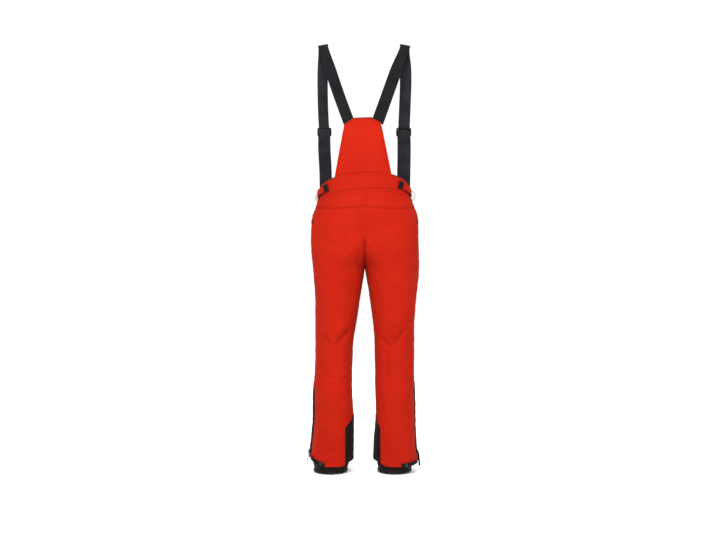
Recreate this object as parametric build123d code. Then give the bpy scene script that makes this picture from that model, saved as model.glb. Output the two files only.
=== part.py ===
from build123d import *
from collections import namedtuple
from math import cos, radians, sin
import os

# Ski bib trousers with braces, hanging as if worn. Millimetres. The wearer faces -Y, their left is +X,
# and z = 0 is the bottom of the snow gaiters. The left half is modelled and mirrored for the right.
os.makedirs("parts", exist_ok=True)

# Driving sizes
SHOULDER = 1636            # height at which each brace starts to fold over the shoulder
CROTCH = 787
SIDE_WAIST = 1076          # height of the waist's top edge at the side seams
WAIST_TILT = 0.5           # the waist rises towards the back by this much per millimetre
BAND = 56                  # height of the waistband
YOKE_SEAM = 1003
TRUNK_BOTTOM = 932         # the trunk's stiff panels end here, and the hip fabric begins
THIGH_TOP = 764
THIGH_BOTTOM = 584
SHIN_TOP = 404
HEM = 29
WALL = 3                   # shell fabric with its lining
GAP = 0.4                  # clearance between neighbours that move apart

# Levels of the left half, from above the bib down: height, then the inner, middle and outer x, and the front and
# back y. Where inner and middle are the same the half is open towards the centre.
Level = namedtuple("Level", "z inner middle outer front back")
LEVELS = [
    Level(1404, 0, 0, 250, -96, 96),
    Level(1184, 0, 0, 176, -108, 112),
    Level(1049, 0, 0, 179, -112, 114),
    Level(984, 0, 0, 196, -117, 121),
    Level(909, 0, 0, 206, -119, 126.4),
    Level(824, 0, 0, 206, -117, 122),
    Level(754, 8, 85, 202, -108, 110),
    Level(684, 16, 100, 197, -104, 102),
    Level(584, 32, 112, 190, -92, 90),
    Level(459, 43, 116, 189, -86, 82),
    Level(336, 45, 120, 194, -80, 84),
    Level(213, 42, 120, 197, -76, 82),
    Level(95, 38, 122, 206, -76, 80),
    Level(HEM, 38, 122, 206, -78, 80),
]
FAR = 400                  # longer than any cut needs to reach sideways

# Rear bib: half widths and heights of its corners
BIB_BASE, BIB_SHOULDER, BIB_TOP = (113, 1100), (67, 1321), (35, 1341)

# Braces
STRAP = 42                 # width of the webbing
LOWER_STRAP = 48           # width below the slider
STRAP_THICK = 2.4
FOLD_X, FOLD_Y, FOLD_RADIUS = 155, 5, 8
FRONT_END = (151, -90, 1018)
SLIDER_DOWN = 327          # from the shoulder fold to the slider, along the strap
SLIDER_LONG = 34
STUD_UP = 14               # from the strap's end to its press stud

# Gaiters: the middle, and then each ellipse's height, half width and half depth
GAITER_AT = (121.5, 2)
GAITER_RINGS = [(0, 65, 73), (24, 66, 73), (152, 76, 72)]
GAITER_WALL = 2

# Side adjusters: the tab's middle below the waist's edge, its width and its two ends
TAB_DOWN, TAB_WIDE, TAB_FROM, TAB_TO = 28, 26, 8, 76
GRIP_LONG, GRIP_WIDE = 13, 20

# Side loops: how far out they are sewn on and reach, and their two ends
LOOP_IN, LOOP_OUT, LOOP_LOW, LOOP_HIGH, LOOP_THICK = 176, 191, 1018, 1074, 2

# Ankle parts
SCUFF_TOP, SCUFF_OUT = 205, 66
HEM_TAB_UP, HEM_TAB_WIDE = 16, 20

# Press studs
STUD_RADIUS, CAP_RADIUS = 5, 7

# Waist closure: its middle, half length and half width, how far it stands off the front, and its studs
CLOSURE_AT = (0, -114, 992)
CLOSURE_LONG, CLOSURE_WIDE, CLOSURE_THICK = 34, 14, 2.6
CLOSURE_LIFT = 3.4
SNAPS_X = (-22, -4)

# Zips
TAPE = 11
COIL = 4
PULL_LONG = 34
LEG_PULL_LONG = 62
LEG_ZIP = ((195, 0, 340), (206.5, 0, 32))
FLY_ZIP = ((0, -118.4, 955), (0, -118.4, 848))
POCKET_ZIP = ((190, -20, 1006), (194.5, 36, 950))


def grown(level, grow):
    """A level with its outline moved outwards by grow."""
    inner = level.inner - grow
    middle = inner if level.inner == level.middle else max(level.middle, inner + 1)
    return Level(level.z, inner, middle, level.outer + grow, level.front - grow, level.back + grow)


def outline(level):
    """The closed outline of one level: half an oval outside, and a straight or oval side within."""
    centre = (level.front + level.back) / 2
    depth = (level.back - level.front) / 2

    def half_oval(reach, turn):
        points = []
        for angle in range(-90, 91, 30):
            x = level.middle + reach * cos(radians(angle))
            points.append((x, centre + turn * depth * sin(radians(angle)), level.z))
        return Edge.make_spline(points, tangents=[(turn, 0, 0), (-turn, 0, 0)])

    outside = half_oval(level.outer - level.middle, 1)
    if level.inner == level.middle:
        within = Edge.make_line((level.inner, level.back, level.z), (level.inner, level.front, level.z))
    else:
        within = half_oval(level.inner - level.middle, -1)
    return Wire([outside, within])


def half_body(grow=0, past=0):
    """The left half as a solid, its outline moved by grow and its two ends by past."""
    levels = [grown(level, grow) for level in LEVELS]
    levels[0] = levels[0]._replace(z=levels[0].z + past)
    levels[-1] = levels[-1]._replace(z=levels[-1].z - past)
    return Solid.make_loft([outline(level) for level in levels], ruled=True)


def skin(low, high):
    """A layer that lies on the left half, from low to high above its surface."""
    return half_body(high) - half_body(low)


def region(x=(-FAR, FAR), y=(-FAR, FAR), z=(0, 2000)):
    """A box between two limits on each axis."""
    size = (x[1] - x[0], y[1] - y[0], z[1] - z[0])
    return Pos((x[0] + x[1]) / 2, (y[0] + y[1]) / 2, (z[0] + z[1]) / 2) * Box(*size)


def tilted(low, high):
    """Everything between two heights at the side seams, cut along the waist's tilt."""
    corners = [(-FAR, low - FAR * WAIST_TILT), (FAR, low + FAR * WAIST_TILT)]
    corners += [(FAR, high + FAR * WAIST_TILT), (-FAR, high - FAR * WAIST_TILT)]
    face = Plane.YZ * make_face(Polyline(*corners, close=True))
    return extrude(face, FAR, both=True)


def frame_along(start, end, outward):
    """A plane at start whose x runs to end, and whose z points outwards."""
    along = (Vector(end) - Vector(start)).normalized()
    outward = Vector(outward)
    outward = (outward - along * along.dot(outward)).normalized()
    return Plane(origin=start, x_dir=along, z_dir=outward)


def block(plane, x, y, z):
    """A box between two limits on each axis of a plane."""
    size = (x[1] - x[0], y[1] - y[0], z[1] - z[0])
    return plane.location * Pos((x[0] + x[1]) / 2, (y[0] + y[1]) / 2, (z[0] + z[1]) / 2) * Box(*size)


def disc(plane, x, y, z, radius):
    """A cylinder that stands on a plane at x, y, between two heights."""
    return plane.location * Pos(x, y, (z[0] + z[1]) / 2) * Cylinder(radius, z[1] - z[0])


def length(run):
    return (Vector(run[1]) - Vector(run[0])).length


def zip_slot(run, outward):
    """The slot that a zip lies in, right through the fabric."""
    return block(frame_along(*run, outward), (0, length(run)), (-TAPE / 2, TAPE / 2), (-20, 20))


def zip_chain(run, outward):
    """The tape with its closed coil, which stands above it."""
    plane = frame_along(*run, outward)
    tape = block(plane, (0, length(run)), (-TAPE / 2, TAPE / 2), (-1, 0))
    return tape + block(plane, (0, length(run)), (-COIL / 2, COIL / 2), (0, 1.6))


def zip_slider(run, outward, at):
    """The slider, open below to straddle the coil, with the bridge that its pull hangs from."""
    plane = frame_along(*run, outward)
    body = block(plane, (at, at + 12), (-5, 5), (GAP, 4))
    body -= block(plane, (at - 1, at + 13), (-COIL / 2 - GAP, COIL / 2 + GAP), (0, 1.6 + GAP))
    bridge = block(plane, (at + 1, at + 6), (-1.5, 1.5), (4, 8))
    return body + bridge - block(plane, (at + 2, at + 5), (-5, 5), (4.4, 7.2))


def zip_pull(run, outward, at, long=PULL_LONG):
    """The pull: a bar through the slider's bridge, two arms and a flat grip."""
    plane = frame_along(*run, outward)
    bar = block(plane, (at + 2.8, at + 4.2), (-4, 4), (5.1, 6.5))
    arms = block(plane, (at + 2.8, at + 9), (2, 4), (5.1, 6.5))
    arms += block(plane, (at + 2.8, at + 9), (-4, -2), (5.1, 6.5))
    return bar + arms + block(plane, (at + 9, at + long), (-4, 4), (5.1, 6.5))


SIDE_OUT = (1, 0, 0)
FRONT_OUT = (0, -1, 0)
LEG_SLIDER_AT = 260
FLY_SLIDER_AT = 4
POCKET_SLIDER_AT = 3

body = half_body()
shell = body - half_body(-WALL, past=5)
shell -= region(x=(-5, WALL + 0.01), y=(-90, 90), z=(CROTCH, 1500))
shell -= zip_slot(LEG_ZIP, SIDE_OUT)
shell -= zip_slot(FLY_ZIP, FRONT_OUT)
shell -= zip_slot(POCKET_ZIP, SIDE_OUT)

FRONT = (-FAR, 0)
BACK = (0, FAR)
below_band = tilted(-500, SIDE_WAIST - BAND)
band = tilted(SIDE_WAIST - BAND, SIDE_WAIST)


def front_panel():
    return shell & below_band & region(y=FRONT, z=(TRUNK_BOTTOM, 1200))


def seat_panel():
    return shell & region(y=BACK, z=(TRUNK_BOTTOM, YOKE_SEAM))


def rear_yoke():
    half = shell & below_band & region(y=BACK, z=(YOKE_SEAM, 1200))
    return half + mirror(half, about=Plane.YZ)


def waistband_rear():
    half = shell & band & region(y=BACK)
    return half + mirror(half, about=Plane.YZ)


def strap_frame():
    """The front strap's own plane: x runs down the strap and z points away from the wearer."""
    start = (FOLD_X, FOLD_Y - FOLD_RADIUS, SHOULDER - 0.5)
    return frame_along(start, FRONT_END, FRONT_OUT)


def strap_length():
    start = (FOLD_X, FOLD_Y - FOLD_RADIUS, SHOULDER - 0.5)
    return (Vector(FRONT_END) - Vector(start)).length


def waistband_front():
    """The front band, with the sewn anchor that the brace's end is buttoned to."""
    end = strap_length()
    anchor = block(strap_frame(), (end - 26, end - 2), (-11, 11), (-45, -STRAP_THICK / 2 - GAP)) - body
    outside = region(y=(-FAR, -40), x=(100, FAR))
    return (shell & band & region(y=FRONT)) + (anchor & outside)


def hip_section():
    return shell & region(z=(THIGH_TOP, TRUNK_BOTTOM))


def thigh():
    return shell & region(z=(THIGH_BOTTOM, THIGH_TOP))


def knee_section():
    return shell & region(z=(SHIN_TOP, THIGH_BOTTOM))


def shin():
    return shell & region(z=(HEM, SHIN_TOP))


def scuff_guard():
    """A hard-wearing patch round the inside of the ankle."""
    return skin(0, 1.6) & region(x=(0, SCUFF_OUT), z=(HEM + 4, SCUFF_TOP))


def gaiter():
    """The inner snow gaiter: a sleeve that narrows to the boot."""
    def sleeve(shrink, past):
        faces = []
        for z, width, depth in GAITER_RINGS:
            ring = Ellipse(width - shrink, depth - shrink)
            end = {GAITER_RINGS[0][0]: -past, GAITER_RINGS[-1][0]: past}.get(z, 0)
            faces.append((Pos(*GAITER_AT, z + end) * ring).face())
        return loft(faces, ruled=True)
    return sleeve(0, 0) - sleeve(GAITER_WALL, 5)


def lace_hook():
    """A flat wire hook that catches the boot's laces, at the front of the gaiter."""
    x = GAITER_AT[0]
    front = GAITER_AT[1] - GAITER_RINGS[0][2] - 1
    plane = frame_along((x, front, 26), (x, front, 2), FRONT_OUT)
    plate = block(plane, (0, 16), (-7, 7), (0.3, 1.5))
    return plate + block(plane, (13, 16), (-4, 4), (1.5, 5)) + block(plane, (7, 16), (-4, 4), (5, 6.2))


def hem_tab():
    """A strap that tightens the hem, at the back of its outer side."""
    heights = (HEM + HEM_TAB_UP - HEM_TAB_WIDE / 2, HEM + HEM_TAB_UP + HEM_TAB_WIDE / 2)
    return skin(1.3, 3) & region(x=(142, 200), y=(22, FAR), z=heights)


def hem_point():
    """A plane on the hem tab, near its free end."""
    return Plane(origin=(157, 77, HEM + HEM_TAB_UP), x_dir=(0, 0, 1), z_dir=(0.4, 0.92, 0))


def hem_snap_cap():
    return skin(3, 5) & disc(hem_point(), 0, 0, (-12, 12), CAP_RADIUS)


def hem_snap_stud():
    return skin(0, 0.9) & disc(hem_point(), 0, 0, (-12, 12), STUD_RADIUS)


def rear_bib():
    """A tapered panel with cut corners, which rises from the rear waistband and flattens towards its top."""
    corners = [(0, BIB_BASE[1]), BIB_BASE, BIB_SHOULDER, BIB_TOP, (0, BIB_TOP[1])]
    pattern = extrude(Plane.XZ * make_face(Polyline(*corners, close=True)), -FAR)
    half = shell & pattern & tilted(SIDE_WAIST, 2000)
    return half + mirror(half, about=Plane.YZ)


def back_strap():
    """The strap from the bib's cut corner to the shoulder, and its fold over the shoulder."""
    thick = STRAP_THICK / 2

    def rib(near, far):
        (x1, y1, z1), (x2, y2, z2) = near, far
        ring = [(x1, y1 - thick, z1), (x2, y2 - thick, z2), (x2, y2 + thick, z2), (x1, y1 + thick, z1)]
        return Wire.make_polygon(ring, close=True)

    top_y = FOLD_Y + FOLD_RADIUS
    foot = rib((BIB_SHOULDER[0], 95.5, BIB_SHOULDER[1] + 1), (BIB_TOP[0], 97, BIB_TOP[1] + 1))
    head = rib((FOLD_X + STRAP / 2, top_y, SHOULDER), (FOLD_X - STRAP / 2, top_y, SHOULDER))
    run = Solid.make_loft([foot, head], ruled=True)
    ring = Cylinder(FOLD_RADIUS + thick, STRAP) - Cylinder(FOLD_RADIUS - thick, STRAP)
    fold = Pos(FOLD_X, FOLD_Y, SHOULDER) * Rot(0, 90, 0) * ring
    return run + (fold & region(z=(SHOULDER, 2000)))


def front_strap():
    """The strap from the shoulder to the waist: wider below its slider, with a hole for the stud."""
    end = strap_length()
    plane = strap_frame()
    thick = (-STRAP_THICK / 2, STRAP_THICK / 2)
    strap = block(plane, (0, end), (-STRAP / 2, STRAP / 2), thick)
    strap += block(plane, (SLIDER_DOWN, end), (-LOWER_STRAP / 2, LOWER_STRAP / 2), thick)
    return strap - disc(plane, end - STUD_UP, 0, (-5, 5), STUD_RADIUS)


def strap_slider():
    """A three-bar slider: two rails, a bar over the strap and two bars under it."""
    plane = strap_frame()
    inside = LOWER_STRAP / 2 + GAP
    outside = inside + 4
    low, high = STRAP_THICK / 2 + GAP, 4
    start, stop = SLIDER_DOWN - SLIDER_LONG / 2, SLIDER_DOWN + SLIDER_LONG / 2
    slider = block(plane, (SLIDER_DOWN - 5, SLIDER_DOWN + 5), (-outside, outside), (low, high))
    for side in ((inside, outside), (-outside, -inside)):
        slider += block(plane, (start, stop), side, (-high, high))
    for bar in ((start, start + 6), (stop - 6, stop)):
        slider += block(plane, bar, (-outside, outside), (-high, -low))
    return slider


def brace_snap_cap():
    return disc(strap_frame(), strap_length() - STUD_UP, 0, (STRAP_THICK / 2, 4), CAP_RADIUS + 1)


def tab_band(width):
    """Everything at the tab's height, to a width."""
    middle = SIDE_WAIST - TAB_DOWN
    return tilted(middle - width / 2, middle + width / 2)


def waist_tab():
    """The adjuster tab, sewn on at the side seam, with its free end towards the back."""
    return skin(1.6, 3.4) & tab_band(TAB_WIDE) & region(x=(100, FAR), y=(TAB_FROM, TAB_TO))


def waist_tab_grip():
    """The moulded grip on the tab's free end."""
    return skin(3.4, 8) & tab_band(GRIP_WIDE) & region(x=(100, FAR), y=(TAB_TO - GRIP_LONG - 1, TAB_TO - 1))


def tab_patch():
    """The hook-and-loop patch under the tab."""
    return skin(0, 1.2) & tab_band(TAB_WIDE + 4) & region(x=(100, FAR), y=(TAB_FROM + 6, TAB_TO + 6))


def side_loop():
    """A thin loop that stands out from the waist at the side seam."""
    def bow(shrink):
        high, low = (LOOP_IN, LOOP_HIGH - shrink), (LOOP_IN, LOOP_LOW + shrink)
        outermost = (LOOP_OUT - shrink, (LOOP_HIGH + LOOP_LOW) / 2)
        return make_face([ThreePointArc(high, outermost, low), Line(low, high)])
    strip = extrude(Plane.XZ * (bow(0) - bow(LOOP_THICK)), 3, both=True)
    return (strip - body).solids().sort_by(SortBy.VOLUME)[-1]


def closure_plane():
    return Plane(origin=CLOSURE_AT, x_dir=(1, 0, 0), z_dir=FRONT_OUT)


def closure_tab():
    """The tab that closes the waist, sewn on at the wearer's left."""
    across, up = (-CLOSURE_LONG, CLOSURE_LONG), (-CLOSURE_WIDE, CLOSURE_WIDE)
    return block(closure_plane(), across, up, (CLOSURE_LIFT, CLOSURE_LIFT + CLOSURE_THICK))


def closure_snap_caps():
    face = CLOSURE_LIFT + CLOSURE_THICK
    return [disc(closure_plane(), x, 0, (face, face + 2.4), CAP_RADIUS) for x in SNAPS_X]


def press_studs():
    """Four studs: two under the waist's tab, and one in each brace anchor."""
    studs = []
    for x in SNAPS_X:
        stud = disc(closure_plane(), x, 0, (-10, CLOSURE_LIFT - GAP), STUD_RADIUS)
        studs.append(stud - body - mirror(body, about=Plane.YZ))
    heights = (-STRAP_THICK / 2 - GAP, STRAP_THICK / 2 - 0.3)
    button = disc(strap_frame(), strap_length() - STUD_UP, 0, heights, STUD_RADIUS - 1.4)
    return studs + [button, mirror(button, about=Plane.YZ)]


def save(name, *shapes):
    """Writes one sub-part; several shapes stay separate solids."""
    solids = [solid for shape in shapes for solid in shape.solids()]
    export_step(solids[0] if len(solids) == 1 else Compound(solids), f"parts/{name}.step")


def save_pair(name, shape):
    save(f"left_{name}", shape)
    save(f"right_{name}", mirror(shape, about=Plane.YZ))


for name, make in {
    "front_panel": front_panel,
    "seat_panel": seat_panel,
    "waistband_front": waistband_front,
    "hip_section": hip_section,
    "thigh": thigh,
    "knee_section": knee_section,
    "shin": shin,
    "scuff_guard": scuff_guard,
    "gaiter": gaiter,
    "lace_hook": lace_hook,
    "hem_tab": hem_tab,
    "hem_snap_cap": hem_snap_cap,
    "hem_snap_stud": hem_snap_stud,
    "back_strap": back_strap,
    "front_strap": front_strap,
    "strap_slider": strap_slider,
    "brace_snap_cap": brace_snap_cap,
    "waist_tab": waist_tab,
    "waist_tab_grip": waist_tab_grip,
}.items():
    save_pair(name, make())

save_pair("leg_zip", zip_chain(LEG_ZIP, SIDE_OUT))
save_pair("leg_zip_slider", zip_slider(LEG_ZIP, SIDE_OUT, LEG_SLIDER_AT))
save_pair("leg_zip_pull", zip_pull(LEG_ZIP, SIDE_OUT, LEG_SLIDER_AT, LEG_PULL_LONG))
save_pair("pocket_slider", zip_slider(POCKET_ZIP, SIDE_OUT, POCKET_SLIDER_AT))
save_pair("pocket_pull", zip_pull(POCKET_ZIP, SIDE_OUT, POCKET_SLIDER_AT))

pocket_chain = zip_chain(POCKET_ZIP, SIDE_OUT)
save("pocket_zips", pocket_chain, mirror(pocket_chain, about=Plane.YZ))
save("fly_zip", zip_chain(FLY_ZIP, FRONT_OUT))
save("fly_slider", zip_slider(FLY_ZIP, FRONT_OUT, FLY_SLIDER_AT))
save("fly_pull", zip_pull(FLY_ZIP, FRONT_OUT, FLY_SLIDER_AT))
save("rear_yoke", rear_yoke())
save("waistband_rear", waistband_rear())
save("rear_bib", rear_bib())
save("tab_patches", tab_patch(), mirror(tab_patch(), about=Plane.YZ))
save("side_loops", side_loop(), mirror(side_loop(), about=Plane.YZ))
save("closure_tab", closure_tab())
save("closure_snap_caps", *closure_snap_caps())
save("press_studs", *press_studs())
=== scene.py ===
import math
from collections import namedtuple
from itertools import product

import bpy
import numpy as np
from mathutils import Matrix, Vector, noise


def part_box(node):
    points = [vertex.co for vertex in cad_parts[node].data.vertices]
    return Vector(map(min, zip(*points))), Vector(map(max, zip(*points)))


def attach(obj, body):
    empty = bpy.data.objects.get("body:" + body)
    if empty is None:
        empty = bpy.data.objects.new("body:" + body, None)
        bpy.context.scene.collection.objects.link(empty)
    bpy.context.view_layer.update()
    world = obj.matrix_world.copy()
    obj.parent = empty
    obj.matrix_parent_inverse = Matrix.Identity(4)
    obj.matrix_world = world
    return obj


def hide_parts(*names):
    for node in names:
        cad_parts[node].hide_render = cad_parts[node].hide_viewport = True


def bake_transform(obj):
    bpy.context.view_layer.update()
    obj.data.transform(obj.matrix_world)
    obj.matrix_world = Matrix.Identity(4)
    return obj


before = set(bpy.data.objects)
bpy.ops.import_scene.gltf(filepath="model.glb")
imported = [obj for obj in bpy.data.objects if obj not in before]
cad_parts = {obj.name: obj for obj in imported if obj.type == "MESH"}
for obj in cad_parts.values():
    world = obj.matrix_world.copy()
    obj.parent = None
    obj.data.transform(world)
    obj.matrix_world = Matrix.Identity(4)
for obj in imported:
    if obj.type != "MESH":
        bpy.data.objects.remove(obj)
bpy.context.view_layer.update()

# Red ski bib trousers with black braces. Metres, in the CAD frame: the wearer faces -Y and their left is +X.
# Each fabric panel is a grid of points on one shared surface, so neighbours meet at their seams.

SIDES = {"left": 1, "right": -1}

# Heights taken from the CAD parts
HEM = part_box("left_shin")[0].z
SADDLE_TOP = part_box("left_seat_panel")[0].z
YOKE_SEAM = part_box("left_seat_panel")[1].z
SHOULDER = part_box("left_back_strap")[1].z
LEG_ZIP_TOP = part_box("left_leg_zip")[1].z
CROTCH = 0.787
SADDLE_REACH = 0.098        # from an oval's middle to the middle seam, at the crotch
CREASE_TOP = 0.905          # above this the two legs' ovals are one
LEG_SPLIT = 0.55            # where the upper panels end and the lower ones begin
SIDE_WAIST = 1.076          # the waist's top edge at the side seams, which rises towards the back
WAIST_TILT = 0.5            # how far the edge rises for every metre towards the back
BAND = 0.056                # height of the waistband
FABRIC = 0.0022             # shell with its lining

# Heights with the inner x of the left and right leg, their middle x, their outer x, and the front and back y
Station = namedtuple("Station", "z inner_left inner_right middle outer_left outer_right front back")
STATIONS = [
    Station(1.40, 0, 0, 0, .250, .250, -.094, .096),
    Station(1.18, 0, 0, 0, .176, .176, -.106, .112),
    Station(1.05, 0, 0, 0, .178, .179, -.110, .115),
    Station(1.005, 0, 0, 0, .190, .194, -.114, .119),
    Station(.952, 0, 0, 0, .203, .205, -.117, .123),
    Station(.890, 0, 0, 0, .2055, .207, -.117, .125),
    Station(.829, 0, 0, .060, .2035, .208, -.114, .122),
    Station(.787, 0, 0, .098, .199, .208, -.110, .114),
    Station(.737, .006, .008, .100, .1955, .2045, -.104, .106),
    Station(.675, .016, .017, .104, .1915, .198, -.098, .100),
    Station(.583, .029, .029, .110, .1885, .192, -.090, .090),
    Station(.490, .0435, .038, .114, .1875, .1905, -.085, .082),
    Station(.398, .0475, .0415, .117, .1895, .1905, -.080, .082),
    Station(.305, .047, .041, .120, .196, .192, -.077, .083),
    Station(.213, .0415, .0425, .120, .1985, .194, -.076, .082),
    Station(.121, .042, .036, .121, .2055, .198, -.076, .080),
    Station(.060, .042, .0345, .122, .2105, .203, -.077, .080),
    Station(.020, .044, .036, .122, .2095, .203, -.078, .080),
]
FULLNESS = 0.92             # below 1 squares the ovals slightly
RIGHT_RISE = 0.0085         # how much higher the waist hangs on the wearer's right
ZIP_RIDGE = {"left": .0062, "right": .0040}     # how far the leg zips' tapes stand off the fabric


def ease(t):
    """A step from 0 to 1 with soft ends."""
    t = np.clip(t, 0, 1)
    return t * t * (3 - 2 * t)


def right_rise(x):
    return RIGHT_RISE * ease(-x / 0.095)


def zip_ridge(side, z):
    return ZIP_RIDGE[side] * ease((LEG_ZIP_TOP - z) / 0.035) * ease((z - 0.045) / 0.03)


def smooth(values, z):
    """A curve through the stations' values, read at heights z."""
    heights = np.array([s.z for s in STATIONS])[::-1]
    values = np.array(values, float)[::-1]
    slopes = np.gradient(values, heights)
    k = np.clip(np.searchsorted(heights, z) - 1, 0, len(heights) - 2)
    gap = heights[k + 1] - heights[k]
    t = (z - heights[k]) / gap
    a, b = values[k], values[k + 1]
    bend = (t - 1) ** 2 * t * slopes[k] * gap + t * t * (t - 1) * slopes[k + 1] * gap
    return a + (b - a) * t * t * (3 - 2 * t) + bend


def section(side, z):
    """The oval's middle x, inner reach, outer reach, middle y and depth at heights z. Above the crotch the
    two legs' ovals close in on each other, until they are one."""
    fields = (f"outer_{side}", f"inner_{side}", "middle", "front", "back")
    curves = (smooth([getattr(s, field) for s in STATIONS], z) for field in fields)
    outer, inner, leg_middle, front, back = curves
    outer = outer - zip_ridge(side, z)
    rise = np.clip((z - CROTCH) / (CREASE_TOP - CROTCH), 0, 1)
    middle = np.where(z > CROTCH, SADDLE_REACH * (1 - rise) ** 0.8, leg_middle)
    reach_in = np.where(z > CROTCH, SADDLE_REACH, leg_middle - inner)
    return middle, reach_in, outer - middle, (front + back) / 2, (back - front) / 2


def turn_end(side, z):
    """The angle at which the surface meets the middle seam, or the inside leg seam below the crotch."""
    middle, reach_in = section(side, z)[:2]
    share = np.clip(middle / reach_in, 0, 1) ** (1 / FULLNESS)
    return math.pi - np.where(z > CROTCH, np.arccos(share), 0)


def base(side, z, turn):
    """Points on the plain surface and their outward directions. The turn is 0 at the outside seam, and grows
    towards the back; it is negative towards the front."""
    middle, reach_in, reach_out, middle_y, depth = section(side, z)
    c, s = np.cos(turn), np.sin(turn)
    reach = np.where(c > 0, reach_out, reach_in)
    x = SIDES[side] * (middle + reach * np.sign(c) * np.abs(c) ** FULLNESS)
    y = middle_y + depth * np.sign(s) * np.abs(s) ** FULLNESS
    beside_seam = np.where(z > CROTCH, np.clip(np.abs(x) / 0.02, 0, 1), 1)
    fall = -(1 - beside_seam) * (1 - np.abs(s)) * 0.1
    out = np.stack([SIDES[side] * c * depth * beside_seam, s * np.maximum(reach, 0.03), fall], -1)
    out /= np.maximum(np.linalg.norm(out, axis=-1, keepdims=True), 1e-6)
    return np.stack([x, y, z], -1), out


# Folds that show on the back: two ends (x, z), how wide and how high, where a valley is negative
Fold = namedtuple("Fold", "start end width height")
BACK_FOLDS = [
    Fold((.052, .548), (.104, .492), .010, -.0075),
    Fold((.160, .518), (.126, .486), .009, -.0070),
    Fold((.082, .560), (.110, .520), .018, .0060),
    Fold((.110, .486), (.118, .400), .014, -.0035),
    Fold((-.062, .512), (-.097, .476), .009, -.0060),
    Fold((-.156, .548), (-.103, .480), .011, -.0085),
    Fold((-.118, .585), (-.112, .520), .018, .0060),
    Fold((-.080, .475), (-.083, .335), .013, -.0050),
    Fold((-.125, .470), (-.130, .345), .020, .0045),
    Fold((-.095, .366), (-.158, .362), .0045, -.0020),
    Fold((-.092, .347), (-.160, .343), .0045, -.0022),
    Fold((-.098, .328), (-.155, .326), .0045, -.0018),
    Fold((.150, .362), (.080, .358), .0045, -.0020),
    Fold((.148, .343), (.076, .339), .0045, -.0018),
    Fold((.016, .850), (.022, .805), .011, -.0048),
    Fold((-.030, .800), (-.080, .700), .016, -.0014),
    Fold((.082, .910), (.092, .870), .050, .0044),
    Fold((-.078, .918), (-.086, .872), .050, .0042),
]


def fold_heights(x, z):
    """How far the folds lift the back's surface at points x, z."""
    lift = np.zeros_like(x)
    for fold in BACK_FOLDS:
        (x1, z1), (x2, z2) = fold.start, fold.end
        long = math.hypot(x2 - x1, z2 - z1)
        ax, az = (x2 - x1) / long, (z2 - z1) / long
        along = ((x - x1) * ax + (z - z1) * az) / long
        across = (x - x1) * az - (z - z1) * ax
        ends = 1 / (1 + np.exp(-(along + 0.02) * 14)) / (1 + np.exp((along - 1.02) * 14))
        lift += fold.height * ends * np.exp(-np.abs(across / fold.width) ** 1.6)
    return lift


def mottle(points, size, seed):
    """Smooth noise between -1 and 1 at points, with features of a size."""
    flat = points.reshape(-1, 3) / size + seed * 7.3
    return np.array([noise.noise(Vector(p)) for p in flat]).reshape(points.shape[:-1])


def surface(side, z, turn):
    """Points on the finished surface: the plain one with its folds and slack."""
    points, out = base(side, z, turn)
    behind = np.clip(np.sin(turn) * 2, 0, 1)
    low = np.clip((SADDLE_TOP + 0.06 - z) / 0.1, 0.25, 1)
    slack = 0.0030 * mottle(points * np.array([1, 1, .35]), 0.055, 1) + 0.0012 * mottle(points, 0.022, 2)
    lift = fold_heights(points[..., 0], points[..., 2]) * behind + slack * low
    points = points + out * lift[..., None]
    points[..., 0] = SIDES[side] * np.maximum(SIDES[side] * points[..., 0], 0)
    return points


CROWDING = 0.35             # how much closer a grid's lines lie near its edges
# Heights at which a panel's first and last turns are guessed to begin with
GUESS_FIRST_Z, GUESS_LAST_Z = (LEG_SPLIT + HEM) / 2, 0.95


def spread(count):
    """Steps from 0 to 1 that lie closer together near both ends."""
    t = np.linspace(0, 1, count)
    return t - CROWDING * np.sin(2 * np.pi * t) / (2 * np.pi)


def panel(side, low, high, first, last, rows, columns, seams):
    """A grid on the surface. low and high are functions of the turn that give heights, and first and last are
    functions of the height that give turns. seams names the edges that are drawn in: l, r, t or b."""
    down, across = spread(rows)[:, None], spread(columns)[None, :]
    left, right = first(np.array([GUESS_FIRST_Z]))[0], last(np.array([GUESS_LAST_Z]))[0]
    turn = np.broadcast_to(left + (right - left) * across, (rows, columns))
    for _ in range(4):      # the heights depend on the turns, and the turns on the heights
        top, bottom = high(side, turn), low(side, turn)
        z = top + (bottom - top) * down
        turn = first(z) + (last(z) - first(z)) * across
    return draw_in(surface(side, z, turn), side, z, turn, seams)


def edge_distances(points):
    """How far every point of a grid lies from the left, right, top and bottom edges."""
    across = np.linalg.norm(np.diff(points, axis=1), axis=-1)
    down = np.linalg.norm(np.diff(points, axis=0), axis=-1)
    from_left = np.concatenate([np.zeros((len(points), 1)), np.cumsum(across, 1)], 1)
    from_top = np.concatenate([np.zeros((1, points.shape[1])), np.cumsum(down, 0)], 0)
    return {
        "l": from_left,
        "r": from_left[:, -1:] - from_left,
        "t": from_top,
        "b": from_top[-1:] - from_top,
    }


SEAM_WIDTH = 0.0045
SEAM_DEPTH = 0.0018
PUCKER = 0.0005             # how high the fabric puckers beside a seam


def draw_in(points, side, z, turn, seams):
    """Sinks a grid's edges a little where they are sewn, and puckers the fabric beside the stitches."""
    out = base(side, z, turn)[1]
    sunk = np.zeros(points.shape[:-1])
    for edge, gap in edge_distances(points).items():
        if edge not in seams:
            continue
        sunk = np.maximum(sunk, np.exp(-(gap / SEAM_WIDTH) ** 2))
        pucker = np.exp(-((gap - 0.008) / 0.006) ** 2)
        points = points + out * (PUCKER * pucker * mottle(points, 0.009, 5))[..., None]
    return points - out * (SEAM_DEPTH * sunk)[..., None]


def link(obj):
    bpy.context.scene.collection.objects.link(obj)
    return obj


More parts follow.
